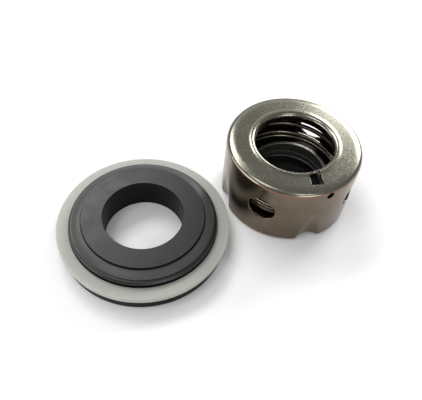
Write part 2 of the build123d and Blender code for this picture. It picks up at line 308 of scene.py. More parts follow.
# %% Tumbled stainless sheet
def tumbled_stainless():
    """
    Stainless sheet, deep drawn and then tumbled in a drum of stones. It keeps a soft mirror under
    countless small dints, so highlights are broad and grainy. The top is olive grey. The side is
    painted darker and browner than the top, which is painted shade, and has a few scuffs. A
    copper-brown band round the corner is a painted reflection.
    """
    material, shader, place = new_material("tumbled_stainless")
    grit = add_node(material, "ShaderNodeTexNoise", {
        "Vector": place, "Scale": marks_per_metre(0.5), "Detail": 2.0, "Roughness": 0.6})
    dints = add_node(material, "ShaderNodeTexNoise", {
        "Vector": place, "Scale": marks_per_metre(1.2), "Detail": 2.0, "Roughness": 0.5})
    cloud = add_node(material, "ShaderNodeTexNoise", {
        "Vector": place, "Scale": marks_per_metre(9.0), "Detail": 4.0, "Roughness": 0.6})
    height = add_node(material, "ShaderNodeSeparateXYZ", {"Vector": place}).outputs["Z"]
    # The side gets a darker, browner copy of the top's colour: painted shade on the side.
    unshaded_top_share = spread(material, height, (SHELL_TOP - 3.0) * MM, (SHELL_TOP - 1.2) * MM, 0.0, 1.0)
    stain = spread(material, cloud.outputs["Fac"], 0.42, 0.66, 0.0, 1.0)
    side = mix_colours(material, stain, linear("#736759"), linear("#6b5f51"))
    top = mix_colours(material, stain, linear("#848276"), linear("#7d7b70"))
    scuffs = add_node(material, "ShaderNodeTexNoise", {
        "Vector": place, "Scale": marks_per_metre(4.0), "Detail": 6.0, "Roughness": 0.7,
        "Distortion": 1.5})
    scuffed = spread(material, scuffs.outputs["Fac"], 0.6, 0.7, 0.0, 0.6)
    side = mix_colours(material, scuffed, side, linear("#43372c"))
    # The copper-brown band round the corner is a painted warm reflection.
    painted_reflection_z = SHELL_TOP - 2.3
    painted_reflection = between(material, height, painted_reflection_z - 0.45, painted_reflection_z + 0.45, 0.25, 0.6)
    colour = mix_colours(material, unshaded_top_share, side, top)
    connect(mix_colours(material, painted_reflection, colour, linear("#80563f")), shader, "Base Color")
    rough = spread(material, grit.outputs["Fac"], 0.35, 0.7, 0.17, 0.28)
    connect(rough, shader, "Roughness")
    fine = add_node(material, "ShaderNodeBump", {
        "Height": grit.outputs["Fac"], "Strength": 0.2, "Distance": 0.03 * MM})
    peened = add_node(material, "ShaderNodeBump", {
        "Height": dints.outputs["Fac"], "Strength": 0.22, "Distance": 0.04 * MM,
        "Normal": fine.outputs["Normal"]})
    connect(peened.outputs["Normal"], shader, "Normal")
    shader.inputs["Metallic"].default_value = 1.0
    return material


# %% Drawn spring wire
def drawn_wire():
    """Hard stainless wire, drawn through a die: bright, with duller patches."""
    material, shader, place = new_material("drawn_wire")
    cloud = add_node(material, "ShaderNodeTexNoise", {
        "Vector": place, "Scale": marks_per_metre(3.0), "Detail": 3.0})
    colour = mix_colours(material, cloud.outputs["Fac"], linear("#8f8b7e"), linear("#6d665b"))
    connect(colour, shader, "Base Color")
    connect(spread(material, cloud.outputs["Fac"], 0.3, 0.7, 0.16, 0.3), shader, "Roughness")
    shader.inputs["Metallic"].default_value = 1.0
    return material


# %% Turned steel
def turned_steel():
    """Steel faced on a lathe: satin, with painted shade darkening it where the spring stands on it.
    """
    material, shader, place = new_material("turned_steel")
    cloud = add_node(material, "ShaderNodeTexNoise", {
        "Vector": place, "Scale": marks_per_metre(1.5), "Detail": 3.0})
    clean = mix_colours(material, cloud.outputs["Fac"], linear("#a5a49d"), linear("#95938c"))
    # Outside the collar, under the spring, the steel is painted nearly black: painted shade.
    painted_shade_under_spring = between_radii(material, place, HEAD_AXIS, THRUST_COLLAR_R + 0.5, SHELL_R)
    connect(mix_colours(material, painted_shade_under_spring, clean, linear("#262521")), shader, "Base Color")
    connect(spread(material, cloud.outputs["Fac"], 0.3, 0.7, 0.4, 0.55), shader, "Roughness")
    shader.inputs["Metallic"].default_value = 1.0
    return material


# %% Carbon graphite
def carbon_graphite():
    """Pressed and turned carbon graphite: charcoal grey with a dull, slightly greasy shine."""
    material, shader, place = new_material("carbon_graphite")
    grain = add_node(material, "ShaderNodeTexNoise", {
        "Vector": place, "Scale": marks_per_metre(0.4), "Detail": 3.0, "Roughness": 0.7})
    colour = mix_colours(material, grain.outputs["Fac"], linear("#393a3a"), linear("#464747"))
    connect(colour, shader, "Base Color")
    connect(spread(material, grain.outputs["Fac"], 0.3, 0.7, 0.38, 0.55), shader, "Roughness")
    bump = add_node(material, "ShaderNodeBump", {
        "Height": grain.outputs["Fac"], "Strength": 0.2, "Distance": 0.02 * MM})
    connect(bump.outputs["Normal"], shader, "Normal")
    shader.inputs["IOR"].default_value = 1.9
    return material


# %% Ground silicon carbide
def ground_carbide():
    """
    Sintered silicon carbide, dark grey and satin. The nose is lapped flat, the shoulder round it is
    left as sintered and looks paler, and the bore and the flange are ground and stay nearly black.
    """
    material, shader, place = new_material("ground_carbide")
    cloud = add_node(material, "ShaderNodeTexNoise", {
        "Vector": place, "Scale": marks_per_metre(7.0), "Detail": 4.0, "Roughness": 0.6})
    grain = add_node(material, "ShaderNodeTexNoise", {
        "Vector": place, "Scale": marks_per_metre(0.5), "Detail": 3.0, "Roughness": 0.6})
    ground = linear("#080808")
    nose = between_radii(material, place, SEAT_AXIS, BORE_R + 0.2, NOSE_R - 0.05)
    shoulder = between_radii(material, place, SEAT_AXIS, NOSE_R + 0.4, GROOVE_R + 2.0)
    lapped = mix_colours(material, cloud.outputs["Fac"], linear("#0e1010"), linear("#141515"))
    colour = mix_colours(material, nose, ground, lapped)
    connect(mix_colours(material, shoulder, colour, linear("#40413f")), shader, "Base Color")
    shiny = add_node(material, "ShaderNodeMath", {0: nose, 1: shoulder}, operation="MAXIMUM")
    level = spread(material, shiny.outputs["Value"], 0.0, 1.0, 0.12, 0.45)
    connect(level, shader, "Specular IOR Level")
    connect(spread(material, cloud.outputs["Fac"], 0.3, 0.7, 0.32, 0.44), shader, "Roughness")
    bump = add_node(material, "ShaderNodeBump", {
        "Height": grain.outputs["Fac"], "Strength": 0.1, "Distance": 0.02 * MM})
    connect(bump.outputs["Normal"], shader, "Normal")
    shader.inputs["IOR"].default_value = 1.47
    return material


# %% White gasket plastic
def white_plastic():
    """Skived white fluoroplastic: waxy, a little see-through, so that its edges glow softly."""
    material, shader, place = new_material("white_plastic")
    cloud = add_node(material, "ShaderNodeTexNoise", {
        "Vector": place, "Scale": marks_per_metre(12.0), "Detail": 3.0})
    colour = mix_colours(material, cloud.outputs["Fac"], linear("#a3a49e"), linear("#a9aaa3"))
    connect(colour, shader, "Base Color")
    connect(spread(material, cloud.outputs["Fac"], 0.3, 0.7, 0.38, 0.5), shader, "Roughness")
    shader.inputs["IOR"].default_value = 1.36
    shader.inputs["Subsurface Weight"].default_value = 0.6
    shader.inputs["Subsurface Radius"].default_value = (3.0 * MM, 3.0 * MM, 2.6 * MM)
    shader.inputs["Subsurface Scale"].default_value = 1.0
    return material


# %% Black rubber
def black_rubber():
    """Moulded nitrile rubber, greased for fitting: black, smooth, with a soft wet shine."""
    material, shader, place = new_material("black_rubber")
    cloud = add_node(material, "ShaderNodeTexNoise", {
        "Vector": place, "Scale": marks_per_metre(2.5), "Detail": 4.0})
    colour = mix_colours(material, cloud.outputs["Fac"], linear("#0c0c0c"), linear("#141414"))
    connect(colour, shader, "Base Color")
    connect(spread(material, cloud.outputs["Fac"], 0.3, 0.7, 0.3, 0.4), shader, "Roughness")
    shader.inputs["IOR"].default_value = 1.52
    return material


STAINLESS = tumbled_stainless()
WIRE_STEEL = drawn_wire()
STEEL = turned_steel()
CARBON = carbon_graphite()
CARBIDE = ground_carbide()
PLASTIC = white_plastic()
RUBBER = black_rubber()
print("materials", [m.name for m in bpy.data.materials if m.users])

# %% [markdown]
# ## The stationary seat
#
# The seat is one turned ring. From the bore outwards its outline goes over the flat lapped nose,
# down a small step, over a gently swelling shoulder to a thin lip, in under the lip to the O-ring
# groove, and down to the flange that carries the gasket.

# %% Seat ring
NOSE_FOOT_R, NOSE_HEIGHT = NOSE_R + 0.1, 1.0
LIP_R, LIP_THICK = 30.9, 0.4
LAND_R = 32.5
FLANGE_TOP = GASKET_BOTTOM
LIP_BOTTOM = GASKET_TOP + SEAT_CORD
SHOULDER_SWELL, SHOULDER_BLEND, SHOULDER_STEPS = 0.2, 1.0, 5
EDGE = 0.12  # rounding of a ground edge
BACK_ROUND, FACE_ROUND, FLANGE_ROUND = 0.3, 0.25, 0.5  # at the bore's two ends and the flange


def shoulder_corners():
    """Corners along the shoulder: a cone from the nose's foot to the lip, swollen by a parabola."""
    along = np.linspace(0, 1, SHOULDER_STEPS)
    foot_z, lip_z = SEAT_TOP - NOSE_HEIGHT, LIP_BOTTOM + LIP_THICK
    radius = NOSE_FOOT_R + (LIP_R - NOSE_FOOT_R) * along
    height = foot_z + (lip_z - foot_z) * along + SHOULDER_SWELL * 4 * along * (1 - along)
    rounding = [EDGE, *[SHOULDER_BLEND] * (SHOULDER_STEPS - 2), EDGE]
    return list(zip(radius, height, rounding))


SEAT_CORNERS = [
    (BORE_R, SEAT_BACK, BACK_ROUND), (BORE_R, SEAT_TOP, FACE_ROUND), (NOSE_R, SEAT_TOP, EDGE),
    *shoulder_corners(),
    (LIP_R, LIP_BOTTOM, EDGE), (GROOVE_R, LIP_BOTTOM, EDGE), (GROOVE_R, GASKET_TOP, EDGE),
    (LAND_R, GASKET_TOP, EDGE), (LAND_R, FLANGE_TOP, EDGE), (FLANGE_R, FLANGE_TOP, FLANGE_ROUND),
    (FLANGE_R, SEAT_BACK, FLANGE_ROUND),
]
make_piece("seat_body", *turn_outline(rounded_outline(SEAT_CORNERS)),
           SEAT_AXIS, CARBIDE, "housing", "seat_ring", "seat_carbide")

# %% Gasket and O-ring on the seat
GASKET_CLEARANCE, GASKET_ROUND = 0.1, 0.35
GASKET_INNER_R = LAND_R + GASKET_CLEARANCE
GASKET_CORNERS = [
    (GASKET_INNER_R, GASKET_BOTTOM, GASKET_ROUND), (GASKET_INNER_R, GASKET_TOP, GASKET_ROUND),
    (GASKET_R, GASKET_TOP, GASKET_ROUND), (GASKET_R, GASKET_BOTTOM, GASKET_ROUND),
]
make_piece("gasket_ring", *turn_outline(rounded_outline(GASKET_CORNERS)),
           SEAT_AXIS, PLASTIC, "housing", "seat_gasket", "white_plastic")

seat_cord = circle_outline(GROOVE_R + SEAT_CORD / 2, GASKET_TOP + SEAT_CORD / 2, SEAT_CORD / 2)
make_piece("seat_cord", *turn_outline(seat_cord),
           SEAT_AXIS, RUBBER, "housing", "seat_o_ring", "black_rubber")

# %% [markdown]
# ## The pressed can
#
# The can starts as one flat disc of stainless sheet, and everything on it is that sheet bent: the
# lip is rolled in round the bore, the side is drawn down, and four crimps are pressed in at the
# bottom. So it is modelled as a sheet too. One line, from the lip's free edge out over the top and
# down the side, is a chain of straight runs and arcs of constant turn. A point of the sheet is an
# angle round the axis, a distance along that line, and a depth into the metal.

# %% The outer line of the sheet
SHELL_WALL = 1.1
COLLAR_DEPTH = 4.4
ROLL_R = 2.0
LIP_SLOPE, FLAT_SLOPE = np.radians(15.0), np.radians(1.0)
LIP_BEND_R = 5.3
EASE_SLOPE, EASE_R = np.radians(12.0), 14.0
CORNER_R = 2.2

CREST_R = BORE_R + ROLL_R
LIP_END_R = CREST_R + ROLL_R * np.sin(LIP_SLOPE)
FLAT_R = LIP_END_R + LIP_BEND_R * (np.sin(LIP_SLOPE) - np.sin(FLAT_SLOPE))
CORNER_START_R = SHELL_R - CORNER_R * (1 - np.sin(EASE_SLOPE))
EASE_START_R = CORNER_START_R - EASE_R * (np.sin(EASE_SLOPE) - np.sin(FLAT_SLOPE))
RUNS = [  # length along the line and how far the heading turns over it
    (COLLAR_DEPTH - ROLL_R, 0.0),
    (ROLL_R * (np.pi / 2 + LIP_SLOPE), -np.pi / 2 - LIP_SLOPE),
    (LIP_BEND_R * (LIP_SLOPE - FLAT_SLOPE), LIP_SLOPE - FLAT_SLOPE),
    ((EASE_START_R - FLAT_R) / np.cos(FLAT_SLOPE), 0.0),
    (EASE_R * (EASE_SLOPE - FLAT_SLOPE), FLAT_SLOPE - EASE_SLOPE),
    (CORNER_R * (np.pi / 2 - EASE_SLOPE), EASE_SLOPE - np.pi / 2),
    (SHELL_TOP, 0.0),
]
RUN_ENDS = np.concatenate([[0.0], np.cumsum([length for length, turn in RUNS])])
HEADINGS = np.pi / 2 + np.concatenate([[0.0], np.cumsum([turn for length, turn in RUNS])])
ROLL_S, CORNER_S, SIDE_S = RUN_ENDS[[1, 5, 6]]  # where the lip's roll, the corner and the side start
LINE_STEPS = 20000
LINE_S = np.linspace(0, RUN_ENDS[-1], LINE_STEPS + 1)


def running_sum(rate):
    """Integral along the line, by the trapezium rule."""
    steps = (rate[1:] + rate[:-1]) / 2 * np.diff(LINE_S)
    return np.concatenate([[0.0], np.cumsum(steps)])


LINE_HEADING = np.interp(LINE_S, RUN_ENDS, HEADINGS)
LINE_R = BORE_R + running_sum(np.cos(LINE_HEADING))
LINE_Z = SHELL_TOP - COLLAR_DEPTH + running_sum(np.sin(LINE_HEADING))
SIDE_Z = np.interp(SIDE_S, LINE_S, LINE_Z)
print("crest", LINE_Z.max().round(3), "side from", SIDE_Z.round(2), "radius", LINE_R[-1].round(3))

# %% [markdown]
# A crimp is what a round punch leaves when it leans on the can and presses hardest at the lower
# edge. The sheet's radius is the smaller of the can's and the punch's surface, and a smooth minimum
# blends the two as real sheet does, because metal bends over a radius and not over a line.

# %% Crimps, and the sheet as a function
CRIMP_COUNT = 4
WINDOW_ANGLE = np.radians(-143.6)
CRIMP_ANGLE = WINDOW_ANGLE + np.pi / CRIMP_COUNT
CRIMP_DEPTH, CRIMP_TOP = 2.2, 16.0
CRIMP_PUNCH_R = 9.2
CRIMP_BEND = 0.7  # how widely the fold is blended
CRIMP_ARCH_WIDTH, CRIMP_ARCH_RISE = 10.8, 1.4


def from_crimp(angle):
    """Angle from the nearest crimp's middle: the remainder after one pitch, centred on zero."""
    pitch = 2 * np.pi / CRIMP_COUNT
    return (angle - CRIMP_ANGLE + pitch / 2) % pitch - pitch / 2


def smooth_min(a, b, width):
    """The smaller of two values, with a parabola of this width where they cross."""
    share = np.clip(0.5 + 0.5 * (b - a) / width, 0, 1)
    return b + (a - b) * share - width * share * (1 - share)


def dent(angle, height):
    """How far the side is pressed in: the can's radius less its smooth minimum with the punch."""
    off = from_crimp(angle)
    reach = CRIMP_DEPTH * (CRIMP_TOP - height) / (CRIMP_TOP - SHELL_BOTTOM)
    middle = SHELL_R + CRIMP_PUNCH_R - reach
    inside = CRIMP_PUNCH_R**2 - (middle * np.sin(off)) ** 2
    punch = middle * np.cos(off) - np.sqrt(np.maximum(inside, 0))
    return SHELL_R - smooth_min(SHELL_R, np.where(inside > 0, punch, 2 * SHELL_R), CRIMP_BEND)


def sheet(angle, along, depth):
    """
    Point and outward normal of the can's sheet. The line gives radius and height, the dent is taken
    off the radius, the normal leans by the dent's slopes, and depth moves the point in along it.
    """
    radius = np.interp(along, LINE_S, LINE_R)
    height = np.interp(along, LINE_S, LINE_Z)
    heading = np.interp(along, RUN_ENDS, HEADINGS)
    on_side = np.asarray(along) > SIDE_S
    step = 1e-3
    pressed = np.where(on_side, dent(angle, height), 0.0)
    slope_a = (dent(angle + step, height) - dent(angle - step, height)) / (2 * step)
    slope_z = (dent(angle, height + step) - dent(angle, height - step)) / (2 * step)
    radius = radius - pressed
    outward = -np.sin(heading)
    sideways = np.where(on_side, slope_a / radius, 0.0)
    upward = np.cos(heading) + np.where(on_side, slope_z, 0.0)
    normal = np.stack([
        outward * np.cos(angle) - sideways * np.sin(angle),
        outward * np.sin(angle) + sideways * np.cos(angle),
        upward + 0 * angle,
    ], axis=-1)
    normal /= np.linalg.norm(normal, axis=-1, keepdims=True)
    point = np.stack([radius * np.cos(angle), radius * np.sin(angle), height + 0 * angle], axis=-1)
    return point - depth * normal, normal


# %% [markdown]
# Openings are punched after drawing, with straight walls. A punch's outline is drawn in the plane
# that it comes through: across the side for a window or the small hole, in plan for the key slot.
# Each point of the outline is then looked up on the sheet, once on its outer face and once on its
# inner face, which gives the straight wall between the two.

# %% Punch outlines
def line_at(depth):
    """Radius and height all along the line, at a depth into the metal."""
    radius = LINE_R + depth * np.sin(LINE_HEADING)
    height = LINE_Z - depth * np.cos(LINE_HEADING)
    return radius, height


def oval(u, v, half_width, half_height):
    """Ellipse: the direction of a point on the unit square's rim, on two half axes."""
    turn = np.arctan2(v, u)
    return half_width * np.cos(turn), half_height * np.sin(turn)


def rounded_box(u, v, half_width, half_height, rounding):
    """Rectangle with round corners: a rim point is pulled onto a circle about a corner's centre."""
    x, y = half_width * u, half_height * v
    centre_x = np.clip(x, rounding - half_width, half_width - rounding)
    centre_y = np.clip(y, rounding - half_height, half_height - rounding)
    far = np.maximum(np.hypot(x - centre_x, y - centre_y), 1e-9)
    return centre_x + rounding * (x - centre_x) / far, centre_y + rounding * (y - centre_y) / far


def side_place(across, height, middle, depth):
    """
    Angle and distance along the line for a punch from the side. The height is looked up on the
    line, and the sine of the angle is across / radius.
    """
    radius, line_z = line_at(depth)
    down = LINE_S >= CORNER_S
    along = np.interp(-height, -line_z[down], LINE_S[down])
    return middle + np.arcsin(across / np.interp(along, LINE_S, radius)), along


def plan_place(out, across, middle, depth):
    """
    Angle and distance along the line for a punch from above. The radius to look up on the line is
    the length of (out, across).
    """
    radius, line_z = line_at(depth)
    top = (LINE_S >= ROLL_S) & (LINE_S <= CORNER_S)
    along = np.interp(np.hypot(out, across), radius[top], LINE_S[top])
    return middle + np.arctan2(across, out), along


# %% Sizes of the openings
WINDOW_WIDTH, WINDOW_HEIGHT, WINDOW_Z = 12.8, 12.0, 17.6
PINHOLE_R, PINHOLE_Z, PINHOLE_ANGLE = 1.75, 29.9, np.radians(-89.2)
KEY_ANGLE, KEY_SKEW = np.radians(-94.6), np.radians(-12.0)
KEY_LENGTH, KEY_WIDTH, KEY_SETBACK = 7.1, 5.2, 0.1
KEY_INNER_R = BORE_R + SHELL_WALL + KEY_SETBACK
KEY_ROUND = 0.35


def window_outline(middle):
    """Outline function of one window."""
    def outline(u, v, grow, depth):
        x, y = oval(u, -v, WINDOW_WIDTH / 2 + grow, WINDOW_HEIGHT / 2 + grow)
        return side_place(x, WINDOW_Z + y, middle, depth)
    return outline


def pinhole_outline(u, v, grow, depth):
    """Outline function of the small round hole."""
    x, y = oval(u, -v, PINHOLE_R + grow, PINHOLE_R + grow)
    return side_place(x, PINHOLE_Z + y, PINHOLE_ANGLE, depth)


def key_outline(u, v, grow, depth):
    """
    Outline function of the key slot: a box whose sides are turned by the skew about its inner end.
    The inner end follows the collar: a side y off the middle line meets the collar's circle at the
    distance x for which (R + x cos k - y sin k)^2 + (x sin k + y cos k)^2 = R^2.
    """
    y, x = rounded_box(u, v, KEY_WIDTH / 2 + grow, KEY_LENGTH / 2 + grow, KEY_ROUND + grow)
    share = 0.5 + x / (KEY_LENGTH + 2 * grow)
    along_r, aside_r = KEY_INNER_R * np.cos(KEY_SKEW), KEY_INNER_R * np.sin(KEY_SKEW)
    start = np.sqrt(along_r**2 - y**2 + 2 * aside_r * y) - along_r - grow
    x = start + share * (KEY_LENGTH + grow - start)
    out = KEY_INNER_R + x * np.cos(KEY_SKEW) - y * np.sin(KEY_SKEW)
    across = x * np.sin(KEY_SKEW) + y * np.cos(KEY_SKEW)
    return plan_place(out, across, KEY_ANGLE, depth)


# %% [markdown]
# The sheet is a grid on each face of the metal. Where an opening goes, a block of cells is left out
# of both grids and a ring of cells is fitted in, from the block's rim to the punched outline. The
# edge between face and punched wall is a quarter round, small at the key slot and wider at the
# windows, where the stones of the drum have worn it.

# %% Grid of the sheet
COLUMNS = 288
SHEET_EDGE, PUNCH_EDGE, WINDOW_EDGE = 0.18, 0.12, 0.35  # rounding at free edges and punched walls
WINDOW_COLUMNS, PIN_COLUMNS, KEY_COLUMNS = 11, 4, 9  # half the width of each block left out
BLOCK_TOP_Z, BLOCK_BOTTOM_Z = 24.7, 10.3  # of the windows' blocks
PIN_MARGIN, KEY_MARGIN_IN, KEY_MARGIN_OUT = 0.6, 1.5, 1.2


def s_at_side(height):
    """Distance along the line at a height on the side."""
    return SIDE_S + SIDE_Z - height


def s_at_radius(radius):
    """Distance along the line at a radius of the top."""
    top = (LINE_S >= ROLL_S) & (LINE_S <= CORNER_S)
    return np.interp(radius, LINE_R[top], LINE_S[top])


PIN_TOP_S = CORNER_S + CORNER_R * np.radians(40)
PIN_BOTTOM_S = s_at_side(PINHOLE_Z - PINHOLE_R - PIN_MARGIN)
KEY_IN_S = s_at_radius(CREST_R - KEY_MARGIN_IN)
KEY_OUT_S = s_at_radius(KEY_INNER_R + KEY_LENGTH + KEY_MARGIN_OUT)
KEY_BLOCK_ANGLE = KEY_ANGLE + KEY_SKEW / 6  # the slot leans to one side of its inner end
BANDS = [  # where each band of rows ends, and how many rows it has
    (ROLL_S, 5), (KEY_IN_S, 5), (KEY_OUT_S, 26), (CORNER_S, 5), (PIN_TOP_S, 6), (SIDE_S, 6),
    (PIN_BOTTOM_S, 6), (s_at_side(BLOCK_TOP_Z), 2), (s_at_side(BLOCK_BOTTOM_Z), 24),
]
LOWER_ROWS = 18
ARCH_BLEND = 0.3


def lower_edge(angle):
    """
    Distance along the line of the can's lower edge. It rises in a circular arch under each crimp:
    a chord w with rise h belongs to the radius (w^2 / 4 + h^2) / 2h.
    """
    arch_r = (CRIMP_ARCH_WIDTH**2 / 4 + CRIMP_ARCH_RISE**2) / (2 * CRIMP_ARCH_RISE)
    across = SHELL_R * np.sin(from_crimp(angle))
    rise = CRIMP_ARCH_RISE - arch_r + np.sqrt(np.maximum(arch_r**2 - across**2, 0))
    return s_at_side(SHELL_BOTTOM - smooth_min(0 * rise, -rise, ARCH_BLEND))


def sheet_grid():
    """Angle and distance along the line of every grid point. The last rows follow the lower edge."""
    angle = np.arange(COLUMNS) * 2 * np.pi / COLUMNS
    rows = [np.array([SHEET_EDGE])]
    for end, count in BANDS:
        rows.append(np.linspace(rows[-1][-1], end, count + 1)[1:])
    fixed = np.concatenate(rows)
    share = np.linspace(0, 1, LOWER_ROWS + 1)[1:, None]
    lower = fixed[-1] + share * (lower_edge(angle) - SHEET_EDGE - fixed[-1])
    along = np.vstack([np.repeat(fixed[:, None], COLUMNS, axis=1), lower])
    return np.repeat(angle[None, :], len(along), axis=0), along


GRID_ANGLE, GRID_S = sheet_grid()
print("sheet grid", GRID_ANGLE.shape)

# %% Rims, and the rings of cells round the openings
RIM_STEPS = 4
PATCH_RINGS = 8


def rim(face, face_normal, edge, far_edge, far_face, far_normal, size):
    """
    Points and normals from one face of the sheet, over a quarter round, straight through the metal
    and over another quarter round to the other face. Each quarter is part of an ellipse:
    corner + side (1 - sin t) + down (1 - cos t), for t from 0 to a right angle.
    """
    through = far_edge - edge
    through /= np.linalg.norm(through, axis=-1, keepdims=True)
    turn = np.linspace(0, np.pi / 2, RIM_STEPS + 1)[1:, None, None]

    def quarter(start, start_normal, corner, inward):
        side, down = start - corner, inward * size
        points = corner + side * (1 - np.sin(turn)) + down * (1 - np.cos(turn))
        flat = side / np.linalg.norm(side, axis=-1, keepdims=True)
        normals = start_normal * np.cos(turn) - flat * np.sin(turn)
        return points, normals / np.linalg.norm(normals, axis=-1, keepdims=True)

    near = quarter(face, face_normal, edge, through)
    far = quarter(far_face, far_normal, far_edge, -through)
    return np.concatenate([near[0], far[0][::-1]]), np.concatenate([near[1], far[1][::-1]])


class Sheet:
    """Collects points, normals and quads, so that neighbouring parts share their border points."""

    def __init__(self):
        self.points, self.normals, self.quads, self.count = [], [], [], 0

    def add(self, points, normals):
        """Stores a block of points and returns their numbers."""
        ids = np.arange(self.count, self.count + points[..., 0].size).reshape(points.shape[:-1])
        self.points.append(points.reshape(-1, 3))
        self.normals.append(normals.reshape(-1, 3))
        self.count += ids.size
        return ids

    def join(self, *rows):
        """Quads between loops of point numbers that follow one another, closed round the loop."""
        self.quads.append(grid_quads(np.vstack(rows), close_columns=True))

    def all_points(self):
        """Every point so far as one array."""
        return np.concatenate(self.points), np.concatenate(self.normals)


def block_rim(rows, columns):
    """Row and column numbers once round the rim of a block of cells."""
    (top, bottom), (left, right) = rows, columns
    j = np.concatenate([np.full(right - left, top), np.arange(top, bottom),
                        np.full(right - left, bottom), np.arange(bottom, top, -1)])
    i = np.concatenate([np.arange(left, right), np.full(bottom - top, right),
                        np.arange(right, left, -1), np.full(bottom - top, left)])
    return j, i


def punch(store, faces, outline, middle, rows, half_columns, size):
    """Fits the ring of cells and the wall of one opening. Returns the block of cells it takes."""
    column = int(np.round(middle / (2 * np.pi) * COLUMNS))
    columns = (column - half_columns, column + half_columns)
    j, i = block_rim(rows, columns)
    angle, along = i * 2 * np.pi / COLUMNS, GRID_S[j, i % COLUMNS]
    u = (i - column) / half_columns
    v = 2 * (along - GRID_S[rows[0], 0]) / (GRID_S[rows[1], 0] - GRID_S[rows[0], 0]) - 1
    loops = []
    for ids, depth in zip(faces, (0.0, SHELL_WALL)):
        goal_angle, goal_s = outline(u, v, size, depth)
        share = (np.arange(1, PATCH_RINGS + 1) / PATCH_RINGS)[:, None]
        points, normals = sheet(
            angle + share * (goal_angle - angle), along + share * (goal_s - along), depth)
        normals = normals if depth == 0 else -normals
        ring = store.add(points, normals)
        store.join(ids[j, i % COLUMNS], ring)
        edge = sheet(*outline(u, v, 0.0, depth), depth)[0]
        loops.append((ring[-1], points[-1], normals[-1], edge))
    near, far = loops
    wall = store.add(*rim(near[1], near[2], near[3], far[3], far[1], far[2], size))
    store.join(near[0], wall, far[0])
    taken = np.zeros(GRID_S.shape, bool)
    taken[rows[0]:rows[1], np.arange(*columns) % COLUMNS] = True
    return taken


def free_edge(store, faces, row, edge_s):
    """Closes the sheet round a free edge, such as the can's lower edge."""
    angle = GRID_ANGLE[0]
    edges = [sheet(angle, edge_s, depth)[0] for depth in (0.0, SHELL_WALL)]
    starts = [sheet(angle, GRID_S[row], depth) for depth in (0.0, SHELL_WALL)]
    wall = store.add(*rim(starts[0][0], starts[0][1], edges[0], edges[1],
                          starts[1][0], -starts[1][1], SHEET_EDGE))
    store.join(faces[0][row], wall, faces[1][row])


# %% Build the can
def row_of(along):
    """Number of the grid row at a distance along the line."""
    return int(np.argmin(np.abs(GRID_S[:, 0] - along)))


def build_can():
    """Both faces of the sheet, the punched openings, and the two free edges."""
    store = Sheet()
    outer = store.add(*sheet(GRID_ANGLE, GRID_S, 0.0))
    points, normals = sheet(GRID_ANGLE, GRID_S, SHELL_WALL)
    inner = store.add(points, -normals)
    faces = (outer, inner)
    window_rows = (row_of(s_at_side(BLOCK_TOP_Z)), row_of(s_at_side(BLOCK_BOTTOM_Z)))
    pin_rows = (row_of(PIN_TOP_S), row_of(PIN_BOTTOM_S))
    key_rows = (row_of(KEY_IN_S), row_of(KEY_OUT_S))
    punches = [(pinhole_outline, PINHOLE_ANGLE, pin_rows, PIN_COLUMNS, PUNCH_EDGE),
               (key_outline, KEY_BLOCK_ANGLE, key_rows, KEY_COLUMNS, PUNCH_EDGE)]
    for middle in WINDOW_ANGLE + np.arange(CRIMP_COUNT) * 2 * np.pi / CRIMP_COUNT:
        punches.append((window_outline(middle), middle, window_rows, WINDOW_COLUMNS, WINDOW_EDGE))
    taken = np.any([punch(store, faces, *values) for values in punches], axis=0)
    free_edge(store, faces, 0, 0 * GRID_ANGLE[0])
    free_edge(store, faces, -1, lower_edge(GRID_ANGLE[0]))
    for ids in faces:
        cells = grid_quads(ids, close_columns=True)
        store.quads.append(cells[~taken[:-1].reshape(-1)])
    return *store.all_points(), np.concatenate(store.quads)


make_piece("pressed_can", *build_can(), HEAD_AXIS, STAINLESS, "housing", "shell", "stainless_can")

# %% [markdown]
# ## The coil spring
#
# The spring is round wire wound on a mandrel. Its axis line is a helix whose rise is small in the
# closed end coils and large between them, so the height is the running sum of the rise. A circle is
# carried along that line in the frame of the line's own direction and the axis's outward direction.

# %% Spring
WIRE = 2.2
SPRING_R = 24.6
SPRING_START = np.radians(200.0)
BOTTOM_TURNS, ACTIVE_TURNS, TOP_TURNS = 1.5, 2.4, 1.0
CLOSED_RISE = WIRE * 1.005  # closed coils lie just clear of each other


